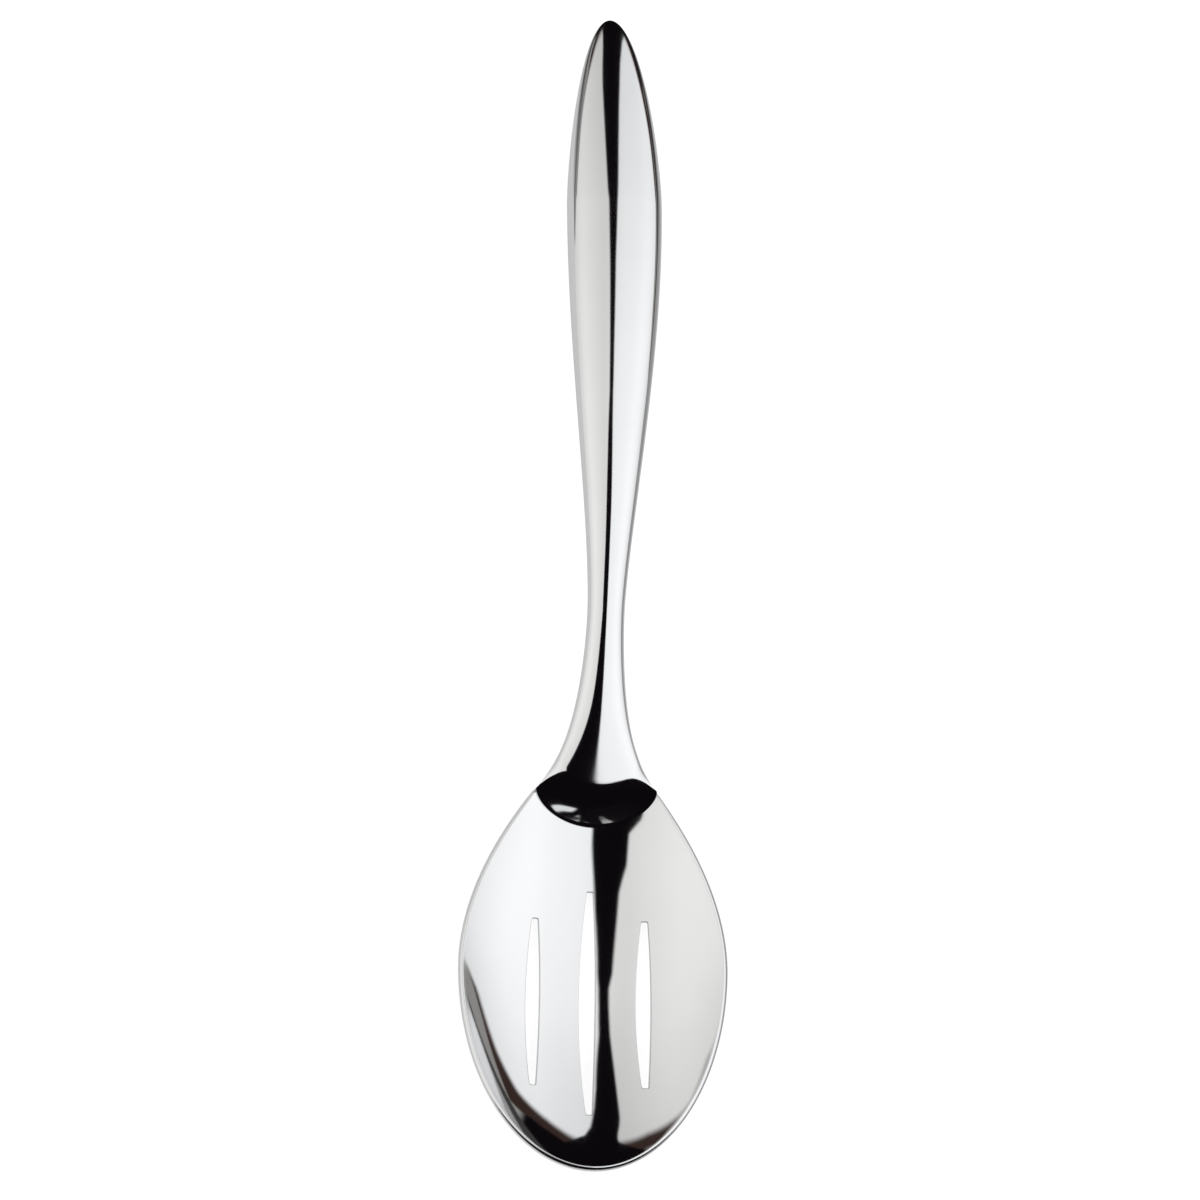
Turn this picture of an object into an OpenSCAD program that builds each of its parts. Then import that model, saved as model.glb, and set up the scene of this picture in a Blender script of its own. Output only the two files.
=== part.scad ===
// Slotted serving spoon: a pressed bowl with an integral tang, welded into a
// hollow handle made of two pressed half shells.
// The spoon lies on its bowl and on its handle tip, hollow side up.
// Y runs along the spoon, from the bowl tip (-) to the handle tip (+).

/* [Overall] */
// Length from the bowl tip to the handle tip
overall_len = 254; // [236:1:290]

/* [Bowl] */
// Distance from the bowl tip to the shoulders, where the handle begins
bowl_len = 82; // [77:0.5:88]
// Width of the bowl across its rim
bowl_w = 57.8; // [52:0.2:64]
// Distance from the bowl tip to the deepest and widest place
deepest_dist = 43.4; // [40:0.2:47]
// Height of the rim above the table at the bowl tip
rim_tip_h = 17.5; // [14:0.1:19]
// Height of the rim above the table at the deepest place
rim_mid_h = 11; // [10:0.1:12.5]
// Height of the rim above the table at the shoulders
rim_shoulder_h = 7.6; // [6.5:0.1:9]
// Width across the shoulders
shoulder_w = 26; // [25:0.2:30]
// How far the sheet dips between the shoulders
heel_dip = 2; // [1.4:0.1:2.3]
// Thickness of the bowl sheet
sheet_t = 1.5; // [1.2:0.05:1.7]

/* [Slots] */
// Length of the middle slot
mid_slot_len = 48.2; // [40:0.2:52]
// Width of the middle slot at its middle
mid_slot_w = 3.6; // [3:0.1:5]
// Length of the two side slots
side_slot_len = 36; // [30:0.5:40]
// Width of the side slots at their middle
side_slot_w = 3.2; // [2.5:0.1:4.5]
// Width of every slot at its ends
slot_end_w = 1.4; // [1:0.1:2]
// Distance from the bowl tip to the middles of the slots
slot_dist = 36.4; // [34:0.2:38.4]
// Distance between neighbouring slots, middle to middle
slot_pitch = 12; // [10:0.1:13.6]
// Angle by which the side slots spread towards the bowl tip, in degrees
slot_splay = 0.4; // [0:0.1:2]

/* [Handle] */
// Width of the neck at its narrowest
neck_w = 8; // [7.4:0.1:10]
// Distance from the shoulders to the narrowest place
neck_dist = 37.5; // [33:0.5:42]
// Width of the grip at its widest
grip_w = 20.7; // [18:0.1:24]
// Distance from the handle tip to the widest place
grip_dist = 45; // [40:0.5:50]
// Height of the top shell above the seam at the shoulders
mouth_top_h = 3.6; // [3.2:0.1:3.9]
// Height of the top shell above the seam at the neck
neck_top_h = 3; // [2.8:0.1:3.8]
// Height of the top shell above the seam at the grip
grip_top_h = 5.6; // [5:0.1:6.6]
// Depth of the bottom shell below the seam at the shoulders
mouth_under_h = 3.9; // [3.8:0.1:4.4]
// Depth of the bottom shell below the seam at the neck
neck_under_h = 3.5; // [3.3:0.1:4.2]
// Depth of the bottom shell below the seam at the grip
grip_under_h = 5; // [4.5:0.1:6]
// Height of the handle's arch above the line from shoulders to tip
arch_rise = 17; // [14:0.5:21]
// Wall of the handle shells
shell_t = 0.8; // [0.6:0.05:0.9]
// Wall at the handle's very tip, where the shells close
tip_wall = 2; // [1.6:0.1:2.4]
// How far the round nose of the handle reaches over the bowl
nose_len = 7; // [6.4:0.1:8.4]
// Length over which the nose rises from its lip to the full handle
nose_run = 8; // [7.5:0.5:11]
// Thickness of the lip round the nose
lip_h = 1; // [0.8:0.05:1.1]
// Length of the tang inside the handle
tang_len = 50; // [30:1:60]

/* [Joints] */
// Width of the weld between the two half shells
seam_w = 0.5; // [0.3:0.05:0.8]
// Width of the weld bead round the nose
bead_w = 0.9; // [0.6:0.05:1.2]
// Clearance between the bowl sheet and what is welded round it
fit_gap = 0.12; // [0.1:0.01:0.16]
// Length over which the sheet narrows from the shoulders to the tang
relief_len = 0.6; // [0.4:0.05:0.9]

/* [Hidden] */

steel = "#c9cbcc";
weld_steel = "#b4b6b7";

// Places along the spoon, measured from the bowl tip
shoulder_at = bowl_len;
neck_at = bowl_len + neck_dist;
grip_at = overall_len - grip_dist;
inner_tip_at = overall_len - tip_wall;
tang_end_at = shoulder_at + tang_len;
handle_len = overall_len - shoulder_at;
half_seam = seam_w / 2;

// Shapes of the curves, as plain exponents and shares
heel_outline_power = 1.9;
floor_tip_power = 2.2;
floor_heel_power = 2.4;
wall_power = 2.2;
flare_steep_power = 6;
flare_slow_power = 2;
flare_steep_share = 0.4;
tip_power = 1.5;
tip_width_power = 0.5;
tip_top_power = 1;
nose_round_power = 1.3;
swell_power = 0.8;
mouth_box_power = 0.4;
tang_share = 0.56;
mouth_sheet_share = 0.8;
mouth_run_share = 0.12;
bead_side_share = 0.75;
bead_end_power = 0.6;
rim_round_share = 0.25;
grow_share = 1.6;

// Step for working out the slopes of the sheet
slope_step_share = 0.0005;
slope_step = bowl_len * slope_step_share;

// How finely each surface is divided
sheet_cols = 24;
bowl_tip_rows = 14;
bowl_heel_rows = 12;
tang_rows = 9;
shell_cols = 20;
mouth_rows = 8;
neck_rows = 5;
swell_rows = 12;
tip_rows = 13;
slot_steps = 12;

function unit(v) = v / norm(v);
function smooth(t) = t * t * (3 - 2 * t);
function clamp01(t) = min(1, max(0, t));
function mix(a, b, t) = a + (b - a) * t;

// Half width of the bowl's outline: half an ellipse at the tip, then a
// fuller curve that runs almost straight to the shoulders
function bowl_half(s) =
    s < deepest_dist
    ? bowl_w / 2 * sqrt(max(0, 1 - pow((deepest_dist - s) / deepest_dist, 2)))
    : mix(bowl_w / 2, shoulder_w / 2,
          pow((s - deepest_dist) / (shoulder_at - deepest_dist), heel_outline_power));

// One size of the handle along its length, from its values at the mouth,
// the neck and the grip; it closes at close_at, bluntly for a small power
function flare(t) =
    flare_steep_share * pow(1 - t, flare_steep_power)
    + (1 - flare_steep_share) * pow(1 - t, flare_slow_power);
function along_handle(s, mouth, neck, grip, close_at, power = tip_width_power) =
    s < shoulder_at ? mouth
    : s < neck_at ? mix(neck, mouth, flare((s - shoulder_at) / neck_dist))
    : s < grip_at ? mix(neck, grip, smooth(pow((s - neck_at) / (grip_at - neck_at), swell_power)))
    : grip * pow(max(0, 1 - pow(clamp01((s - grip_at) / (close_at - grip_at)), tip_power)), power);

function handle_half(s) = along_handle(s, shoulder_w / 2, neck_w / 2, grip_w / 2, overall_len);
function cavity_half(s) =
    along_handle(s, shoulder_w / 2 - shell_t, neck_w / 2 - shell_t, grip_w / 2 - shell_t, inner_tip_at);
function raised(s, inset, close_at) = half_seam + along_handle(
    s, mouth_top_h - inset, neck_top_h - inset, grip_top_h - inset, close_at, tip_top_power);
function top_h(s) = raised(s, half_seam, overall_len);
function cavity_top_h(s) = raised(s, half_seam + shell_t, inner_tip_at);
function under_h(s) = along_handle(s, mouth_under_h, neck_under_h, grip_under_h, overall_len);
function cavity_under_h(s) =
    along_handle(s, mouth_under_h - shell_t, neck_under_h - shell_t, grip_under_h - shell_t, inner_tip_at);

// Height of the handle's seam: a low arch from the shoulders to the tip.
// The tip is set so that the handle's lowest place touches the table
seam_start_h = rim_shoulder_h + sheet_t / 2;
function arch(s) = 4 * arch_rise * (s - shoulder_at) / handle_len * (1 - (s - shoulder_at) / handle_len);
function hung_seam(s, tip_h) = mix(seam_start_h, tip_h, (s - shoulder_at) / handle_len) + arch(s);
tip_samples = 60;
lowest_at_zero = min([for (k = [0 : tip_samples])
    let (s = mix(grip_at, overall_len, sin(90 * k / tip_samples))) hung_seam(s, 0) - under_h(s)]);
seam_tip_h = -lowest_at_zero;
function seam_z(s) = hung_seam(s, seam_tip_h);

// Rim height of the bowl: one parabola through its three named heights
function rim_z(s) =
    s > shoulder_at
    ? seam_z(s) - sheet_t / 2
    : rim_tip_h * (s - deepest_dist) * (s - shoulder_at) / (deepest_dist * shoulder_at)
      + rim_mid_h * s * (shoulder_at - s) / (deepest_dist * (shoulder_at - deepest_dist))
      + rim_shoulder_h * s * (s - deepest_dist) / (shoulder_at * (shoulder_at - deepest_dist));

// Lowest line of the sheet, along its middle
mouth_run = handle_len * mouth_run_share;
function floor_z(s) =
    s < deepest_dist
    ? rim_tip_h * pow((deepest_dist - s) / deepest_dist, floor_tip_power)
    : s < shoulder_at
    ? (rim_shoulder_h - heel_dip) * pow((s - deepest_dist) / (shoulder_at - deepest_dist), floor_heel_power)
    : rim_z(s) - heel_dip * pow(1 - clamp01((s - shoulder_at) / mouth_run), 2);

// How square the bowl's cross section is: round at both ends, fuller between
function section_power(s) =
    s < deepest_dist
    ? mix(2, wall_power, 1 - pow((deepest_dist - s) / deepest_dist, 2))
    : mix(wall_power, 2, clamp01((s - deepest_dist) / (shoulder_at - deepest_dist)));

// Half width of the sheet: the bowl, the shoulder step and the tang
function tang_half(s) = handle_half(s) * mix(mouth_sheet_share, tang_share, clamp01((s - shoulder_at) / mouth_run));
function sheet_half(s) =
    s < shoulder_at - relief_len ? bowl_half(s)
    : s < shoulder_at ? mix(bowl_half(s), tang_half(shoulder_at), (s - shoulder_at + relief_len) / relief_len)
    : tang_half(s);

// Under side of the sheet at any place, and the direction it faces
function sheet_under(x, s) =
    let (w = s < shoulder_at ? max(bowl_half(s), slope_step) : handle_half(s))
    floor_z(s) + (rim_z(s) - floor_z(s)) * pow(min(1, abs(x) / w), section_power(s));
function sheet_normal(x, s) =
    let (
        s1 = max(slope_step, s - slope_step),
        s2 = max(s1 + slope_step, s + slope_step),
        x1 = abs(x) - slope_step,
        dx = (sheet_under(abs(x), s) - sheet_under(x1, s)) / slope_step * sign(x),
        ds = (sheet_under(x, s2) - sheet_under(x, s1)) / (s2 - s1)
    ) unit([-dx, -ds, 1]);
function sheet_top(x, s) = sheet_under(x, s) + sheet_t / sheet_normal(x, s)[2];

// The slope right at the tip, where the outline closes
tip_slope = floor_tip_power * rim_tip_h / deepest_dist;
tip_normal = unit([0, tip_slope, 1]);

// Rows of the sheet, from the bowl tip to the end of the tang
sheet_rows = concat(
    [for (k = [1 : bowl_tip_rows]) deepest_dist * (1 - cos(90 * k / bowl_tip_rows))],
    [for (k = [1 : bowl_heel_rows]) mix(deepest_dist, shoulder_at - relief_len, k / bowl_heel_rows)],
    [for (k = [0 : tang_rows]) mix(shoulder_at, tang_end_at, pow(k / tang_rows, grow_share))]
);

// Rim edge: a point between the under and top edges, pushed outward
function edge_mid(low, top, outward) = (low + top) / 2 + outward * sheet_t * rim_round_share;

function sheet_ring(s) =
    let (
        w = sheet_half(s),
        low = [for (i = [0 : sheet_cols]) let (x = -w * cos(180 * i / sheet_cols)) [x, s, sheet_under(x, s)]],
        top = [for (p = low) p + sheet_t * sheet_normal(p[0], s)],
        out = unit([1, 0, (top[0] - low[0])[0] / (top[0] - low[0])[2]])
    )
    concat(
        low,
        [edge_mid(low[sheet_cols], top[sheet_cols], out)],
        [for (i = [sheet_cols : -1 : 0]) top[i]],
        [edge_mid(low[0], top[0], [-out[0], 0, out[2]])]
    );

tip_low = [0, 0, rim_tip_h];
tip_top = tip_low + sheet_t * tip_normal;
tip_edge = edge_mid(tip_low, tip_top, -unit([0, tip_normal[2], -tip_normal[1]]));

// Two triangles for each four-cornered patch between rings a and b
function band(a, b, n) = [for (k = [0 : n - 1]) let (m = (k + 1) % n)
    each [[a + k, b + k, b + m], [a + k, b + m, a + m]]];
function turned(faces) = [for (f = faces) [f[2], f[1], f[0]]];

// The bowl sheet: the tip's three points, then a ring for each row
sheet_n = 2 * sheet_cols + 4;
function tip_index(k) = k <= sheet_cols ? 0 : k == sheet_cols + 1 ? 1 : k < sheet_n - 1 ? 2 : 1;
module sheet_body() {
    rings = [for (s = sheet_rows) sheet_ring(s)];
    first = 3;
    last = first + (len(rings) - 1) * sheet_n;
    tip_faces = [for (k = [0 : sheet_n - 1]) let (m = (k + 1) % sheet_n, a = tip_index(k), b = tip_index(m))
        each (a == b
            ? [[a, first + k, first + m]]
            : [[a, first + k, first + m], [a, first + m, b]])];
    bands = [for (r = [0 : len(rings) - 2]) each band(first + r * sheet_n, first + (r + 1) * sheet_n, sheet_n)];
    end_faces = concat(
        [for (i = [0 : sheet_cols - 1]) let (t = sheet_n - 2 - i)
            each [[last + i, last + t, last + t - 1], [last + i, last + t - 1, last + i + 1]]],
        [[last + sheet_cols, last + sheet_cols + 2, last + sheet_cols + 1],
         [last + sheet_n - 1, last + sheet_n - 2, last]]
    );
    polyhedron(concat([tip_low, tip_edge, tip_top], [for (r = rings) each r]),
               turned(concat(tip_faces, bands, end_faces)));
}

// Outline of a slot: two long bowed sides between blunt ends
function slot_half(t, w) = slot_end_w / 2 + (w - slot_end_w) / 2 * (1 - t * t);
module slot(length, width) {
    steps = [for (k = [-slot_steps / 2 : slot_steps / 2]) 2 * k / slot_steps];
    points = concat(
        [for (t = steps) [slot_half(t, width), t * length / 2]],
        [for (t = steps) [-slot_half(t, width), -t * length / 2]]
    );
    linear_extrude(height = 2 * rim_tip_h, center = true) polygon(points);
}

module slots() {
    translate([0, slot_dist, 0]) slot(mid_slot_len, mid_slot_w);
    for (side = [-1, 1])
        translate([side * slot_pitch, slot_dist, 0])
            rotate(side * slot_splay) slot(side_slot_len, side_slot_w);
}

// Rows of the handle, from the mouth to just before the tip
handle_rows = concat(
    [for (k = [0 : mouth_rows]) shoulder_at + mouth_run * pow(k / mouth_rows, grow_share)],
    [for (k = [1 : neck_rows]) mix(shoulder_at + mouth_run, neck_at, k / neck_rows)],
    [for (k = [1 : swell_rows]) mix(neck_at, grip_at, k / swell_rows)],
    [for (k = [1 : tip_rows - 1]) mix(grip_at, overall_len, sin(90 * k / tip_rows))]
);
// The same rows for the cavity, which ends a wall short of the tip
function cavity_row(s) = s < grip_at ? s : mix(grip_at, inner_tip_at, (s - grip_at) / grip_dist);

// How far the middle of a row is drawn towards the bowl, as the nose is
function bulge(s) = nose_len * pow(1 - clamp01((s - shoulder_at) / mouth_run), 2);
function across(i) = 180 * i / shell_cols;
function nose_round(i) = pow(sin(across(i)), nose_round_power);
function row_y(s, row, i) = s - bulge(row) * nose_round(i);

// The handle's section is squarer at the mouth and round further on
function box_power(s) = mix(mouth_box_power, 1, smooth(clamp01((s - shoulder_at) / mouth_run)));
function crown(h, s, i) = half_seam + (h - half_seam) * pow(sin(across(i)), box_power(s));

// Side +1 is the top shell, side -1 the bottom shell
function sheet_face(side, x, s) =
    side > 0 ? sheet_top(x, s) + fit_gap : sheet_under(x, s) - fit_gap;
function shell_h(side, s) = side > 0 ? top_h(s) : under_h(s);
function cavity_h(side, s) = side > 0 ? cavity_top_h(s) : cavity_under_h(s);
function is_end(i) = i == 0 || i == shell_cols;

// Outer surface: the lip on the sheet at the nose, then the full handle
function shell_point(side, row, i) =
    let (
        x = handle_half(row) * cos(across(i)),
        y = row_y(row, row, i),
        body = seam_z(y) + side * crown(shell_h(side, y), y, i),
        lip = sheet_face(side, x, min(y, shoulder_at)) + side * lip_h * bead_side_share,
        from_edge = row - shoulder_at + (nose_len - bulge(row)) * nose_round(i),
        rise = 1 - pow(1 - clamp01(from_edge / nose_run), 2)
    )
    is_end(i) ? [x, y, seam_z(y) + side * half_seam] : [x, y, mix(lip, body, rise)];

// Cavity surface: clear of the sheet at the nose, a wall inside the shell
function cavity_point(side, row, i) =
    let (
        s = cavity_row(row),
        is_edge = row == shoulder_at,
        x = (is_edge && !is_end(i) ? handle_half(row) : cavity_half(s)) * cos(across(i)),
        y = row_y(s, row, i),
        outer_h = side * (shell_point(side, row, i)[2] - seam_z(y)),
        body_h = crown(cavity_h(side, y), y, i),
        walled = seam_z(y) + side * max(half_seam, min(body_h, outer_h - shell_t)),
        near_sheet = y < shoulder_at || abs(x) < tang_half(y),
        cleared = near_sheet && y < shoulder_at + mouth_run
            ? side * max(side * walled, side * sheet_face(side, x, y)) : walled
    )
    is_end(i) ? [x, y, seam_z(y) + side * half_seam]
    : is_edge ? [x, y, sheet_face(side, x, y)]
    : s < grip_at ? [x, y, cleared]
    : [x, y, seam_z(y) + side * body_h];

shell_n = 2 * shell_cols + 2;
function shell_ring(side, row) = concat(
    [for (i = [0 : shell_cols]) shell_point(side, row, i)],
    [for (i = [shell_cols : -1 : 0]) cavity_point(side, row, i)]
);

module half_shell(side) {
    rings = [for (row = handle_rows) shell_ring(side, row)];
    count = len(rings);
    last = (count - 1) * shell_n;
    outer_tip = count * shell_n;
    inner_tip = outer_tip + 1;
    points = concat(
        [for (r = rings) each r],
        [[0, overall_len, seam_z(overall_len) + side * half_seam],
         [0, inner_tip_at, seam_z(inner_tip_at) + side * half_seam]]
    );
    bands = [for (r = [0 : count - 2]) each band(r * shell_n, (r + 1) * shell_n, shell_n)];
    mouth_faces = [for (i = [0 : shell_cols - 1]) let (t = shell_n - 1 - i)
        each [[i, i + 1, t - 1], [i, t - 1, t]]];
    tip_faces = concat(
        [for (i = [0 : shell_cols - 1]) [last + i, outer_tip, last + i + 1]],
        [for (i = [shell_cols + 1 : shell_n - 2]) [last + i, inner_tip, last + i + 1]],
        [[last + shell_cols, outer_tip, inner_tip], [last + shell_cols, inner_tip, last + shell_cols + 1],
         [last + shell_n - 1, inner_tip, outer_tip], [last + shell_n - 1, outer_tip, last]]
    );
    faces = concat(bands, mouth_faces, tip_faces);
    polyhedron(points, side > 0 ? turned(faces) : faces);
}

// The weld that joins the two half shells, down both sides and round the tip
module seam_band() {
    sides = [for (row = handle_rows) [shell_point(1, row, 0), cavity_point(1, row, 0)]];
    count = len(sides);
    path = concat(
        [for (p = sides) p],
        [[[0, overall_len, seam_z(overall_len) + half_seam], [0, inner_tip_at, seam_z(inner_tip_at) + half_seam]]],
        [for (k = [count - 1 : -1 : 0]) [for (p = sides[k]) [-p[0], p[1], p[2]]]]
    );
    drop = [0, 0, seam_w];
    points = [for (p = path) each [p[0], p[0] - drop, p[1] - drop, p[1]]];
    last = (len(path) - 1) * 4;
    faces = concat(
        [for (r = [0 : len(path) - 2]) each band(4 * r, 4 * r + 4, 4)],
        [[0, 1, 2], [0, 2, 3], [last, last + 2, last + 1], [last, last + 3, last + 2]]
    );
    polyhedron(points, faces);
}

// A bead of weld in the corner between the nose's lip and the bowl sheet,
// which runs out at both ends
module nose_bead(side) {
    foot = [for (i = [1 : shell_cols - 1]) cavity_point(side, shoulder_at, i)];
    head = [for (i = [1 : shell_cols - 1]) shell_point(side, shoulder_at, i)];
    count = len(foot);
    ahead = [for (k = [0 : count - 1])
        let (run = foot[min(count - 1, k + 1)] - foot[max(0, k - 1)]) unit([-run[1], run[0], 0])];
    reach = [for (k = [0 : count - 1]) bead_w * pow(sin(across(k + 1)), bead_end_power)];
    toe = [for (k = [0 : count - 1]) let (p = foot[k] + reach[k] * ahead[k])
        [p[0], p[1], sheet_face(side, p[0], p[1])]];
    points = [for (k = [0 : count - 1]) each [foot[k], mix(foot[k], head[k], bead_side_share), toe[k]]];
    last = 3 * (count - 1);
    faces = concat(
        [for (r = [0 : count - 2]) each band(3 * r, 3 * r + 3, 3)],
        [[0, 1, 2], [last, last + 2, last + 1]]
    );
    polyhedron(points, side > 0 ? turned(faces) : faces);
}

// Everything is drawn from the bowl tip, then centred along Y
module centred() {
    translate([0, -overall_len / 2, 0]) children();
}

module bowl() {
    color(steel) centred() difference() {
        sheet_body();
        slots();
    }
}

module handle_top_shell() {
    color(steel) centred() half_shell(1);
}

module handle_bottom_shell() {
    color(steel) centred() half_shell(-1);
}

module seam_weld() {
    color(weld_steel) centred() seam_band();
}

module nose_weld_top() {
    color(weld_steel) centred() nose_bead(1);
}

module nose_weld_bottom() {
    color(weld_steel) centred() nose_bead(-1);
}

bowl();
handle_top_shell();
handle_bottom_shell();
seam_weld();
nose_weld_top();
nose_weld_bottom();
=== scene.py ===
import bpy
import bmesh
import math
import numpy as np
from mathutils import Matrix, Vector


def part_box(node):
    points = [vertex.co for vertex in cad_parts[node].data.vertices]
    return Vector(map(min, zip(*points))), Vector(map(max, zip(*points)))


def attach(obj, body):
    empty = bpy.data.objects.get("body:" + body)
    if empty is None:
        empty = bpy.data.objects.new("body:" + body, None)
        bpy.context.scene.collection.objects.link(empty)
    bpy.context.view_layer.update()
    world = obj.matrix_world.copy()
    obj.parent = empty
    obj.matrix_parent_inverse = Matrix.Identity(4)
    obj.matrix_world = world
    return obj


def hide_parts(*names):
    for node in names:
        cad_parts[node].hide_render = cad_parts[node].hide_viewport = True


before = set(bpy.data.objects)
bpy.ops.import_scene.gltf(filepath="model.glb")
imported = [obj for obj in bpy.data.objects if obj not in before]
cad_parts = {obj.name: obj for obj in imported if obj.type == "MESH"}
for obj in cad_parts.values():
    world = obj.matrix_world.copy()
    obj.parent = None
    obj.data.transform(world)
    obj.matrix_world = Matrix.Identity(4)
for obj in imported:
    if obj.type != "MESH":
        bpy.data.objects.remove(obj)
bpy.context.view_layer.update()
mm = 0.001
slopeStep = 2e-6              # half the distance over which a curve's slope is taken
leastSize = 1e-6              # keeps sizes and places off zero
leastShare = 1e-9             # does the same for shares and sines
leastLength = 1e-30           # and for the lengths of normals
print("Spoon: frame loaded")

# Places along the spoon are measured from the bowl tip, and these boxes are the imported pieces'
bowlLow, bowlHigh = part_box("bowl")
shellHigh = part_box("handle_top_shell")[1]
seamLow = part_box("seam_weld")[0]
tipY = bowlLow.y
spoonLength = shellHigh.y - tipY
shoulderAt = seamLow.y - tipY
handleLength = spoonLength - shoulderAt

bowl = {
    "halfWidth": bowlHigh.x,
    "deepestAt": 43.4 * mm,
    "rimTip": 17.5 * mm,          # rim heights above the table
    "rimDeepest": 11 * mm,
    "rimShoulder": 7.6 * mm,
    "heelDip": 2 * mm,
    "sheet": 1.5 * mm,
    "outlinePower": 1.9,
    "floorTipPower": 2.2,
    "floorHeelPower": 2.4,
    "wallPower": 2.2,
    "rimBulge": 0.25,             # how far the rounded rim stands out, as a share of the sheet
    "relief": 0.6 * mm,
    "tangLength": 50 * mm,
    "tangMouthShare": 0.8,
    "tangShare": 0.56,
}

slots = {
    "middleAt": 36.4 * mm,
    "middleLength": 48.2 * mm,
    "middleWidth": 3.6 * mm,
    "sideLength": 36 * mm,
    "sideWidth": 3.2 * mm,
    "endWidth": 1.4 * mm,
    "pitch": 12 * mm,
    "splay": math.radians(0.4),
    "edgeRadius": 0.16 * mm,      # the polished edge of the punched sheet
    "cornerRadius": 0.4 * mm,
}

handle = {
    "mouthHalf": shellHigh.x,
    "neckHalf": 4 * mm,
    "gripHalf": 10.35 * mm,
    "neckDist": 37.5 * mm,
    "gripDist": 45 * mm,
    "top": (3.6 * mm, 3 * mm, 5.6 * mm),      # above the seam at mouth, neck and grip
    "under": (3.9 * mm, 3.5 * mm, 5 * mm),
    "archRise": 17 * mm,
    "wall": 0.8 * mm,
    "tipWall": 2 * mm,
    "noseLength": 7 * mm,
    "noseRound": 1.3,
    "noseRun": 8 * mm,
    "lip": 1 * mm,
    "seam": 0.5 * mm,
    "gap": 0.12 * mm,
    "bead": 0.9 * mm,
    "beadSideShare": 0.75,
    "beadEndPower": 0.6,          # how the bead runs out at both ends
    "flareSteepPower": 6,
    "flareSlowPower": 2,
    "flareSteepShare": 0.4,
    "tipPower": 1.5,
    "tipWidthPower": 0.5,         # how bluntly the outline and the top close at the tip
    "tipTopPower": 1,
    "swellPower": 0.8,
    "boxPower": 0.4,              # how square the section is at the mouth
    "mouthShare": 0.12,           # of the handle's length, over which the mouth settles
    "tipSamples": 61,             # places at which the tip's lowest point is looked for
    "cornerRoll": 0.5,            # how far the polish rolls the mouth's corners over towards the bowl
    "cornerReach": 6 * mm,
    # (mm from the bowl's tip, degrees that the polish leans to the left)
    "lean": ((82, -1.3), (114, -1.3), (140, 0), (160, 0), (254, 5.5)),
}

neckAt = shoulderAt + handle["neckDist"]
gripAt = spoonLength - handle["gripDist"]
innerTipAt = spoonLength - handle["tipWall"]
mouthRun = handleLength * handle["mouthShare"]
halfSeam = handle["seam"] / 2


def mix(a, b, t):
    return a + (b - a) * t


def clamp01(t):
    return np.clip(t, 0, 1)


def easeInOut(t):
    return t * t * (3 - 2 * t)


def slopeOf(curve, s):
    step = np.minimum(slopeStep, s / 4)
    return (curve(s + step) - curve(s - step)) / (2 * step)


def unitRows(v):
    return v / np.maximum(np.linalg.norm(v, axis=-1, keepdims=True), leastLength)


# The handle's sizes along its length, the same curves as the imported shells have

def alongHandle(s, mouth, neck, grip, closeAt, power=handle["tipWidthPower"]):
    t = clamp01((s - shoulderAt) / handle["neckDist"])
    steep = handle["flareSteepShare"]
    flare = steep * (1 - t) ** handle["flareSteepPower"]
    flare = flare + (1 - steep) * (1 - t) ** handle["flareSlowPower"]
    swell = easeInOut(clamp01((s - neckAt) / (gripAt - neckAt)) ** handle["swellPower"])
    closing = clamp01((s - gripAt) / (closeAt - gripAt)) ** handle["tipPower"]
    value = np.where(s < neckAt, mix(neck, mouth, flare), mix(neck, grip, swell))
    return np.where(s < gripAt, value, grip * np.maximum(0, 1 - closing) ** power)


def handleHalf(s):
    return alongHandle(s, handle["mouthHalf"], handle["neckHalf"], handle["gripHalf"], spoonLength)


def cavityHalf(s):
    sizes = [handle[k] - handle["wall"] for k in ("mouthHalf", "neckHalf", "gripHalf")]
    return alongHandle(s, *sizes, innerTipAt)


def shellHeight(side, s, inset=0, closeAt=spoonLength):
    if side < 0:
        return alongHandle(s, *[h - inset for h in handle["under"]], closeAt)
    sizes = [h - inset - halfSeam for h in handle["top"]]
    return halfSeam + alongHandle(s, *sizes, closeAt, handle["tipTopPower"])


def hungSeam(s, tipHeight):
    t = (s - shoulderAt) / handleLength
    level = mix(bowl["rimShoulder"] + bowl["sheet"] / 2, tipHeight, t)
    return level + 4 * handle["archRise"] * t * (1 - t)


# the seam ends at the height that brings the lowest point of the handle's tip down to the table
lowSamples = mix(gripAt, spoonLength, np.sin(np.linspace(0, math.pi / 2, handle["tipSamples"])))
seamTip = -np.min(hungSeam(lowSamples, 0) - shellHeight(-1, lowSamples))


def seamHeight(s):
    return hungSeam(s, seamTip)


# The bowl sheet: its under side is a height over (x, s), and its upper side lies one sheet away

def bowlHalf(s):
    deepest = bowl["deepestAt"]
    ellipse = np.sqrt(np.maximum(0, 1 - (np.minimum(s, deepest) / deepest - 1) ** 2))
    t = np.maximum(0, (s - deepest) / (shoulderAt - deepest))
    heel = mix(bowl["halfWidth"], handle["mouthHalf"], t ** bowl["outlinePower"])
    return np.where(s < deepest, bowl["halfWidth"] * ellipse, heel)


def rimHeight(s):
    deepest = bowl["deepestAt"]
    parabola = (
        bowl["rimTip"] * (s - deepest) * (s - shoulderAt) / (deepest * shoulderAt)
        + bowl["rimDeepest"] * s * (shoulderAt - s) / (deepest * (shoulderAt - deepest))
        + bowl["rimShoulder"] * s * (s - deepest) / (shoulderAt * (shoulderAt - deepest))
    )
    return np.where(s > shoulderAt, seamHeight(s) - bowl["sheet"] / 2, parabola)


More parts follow.
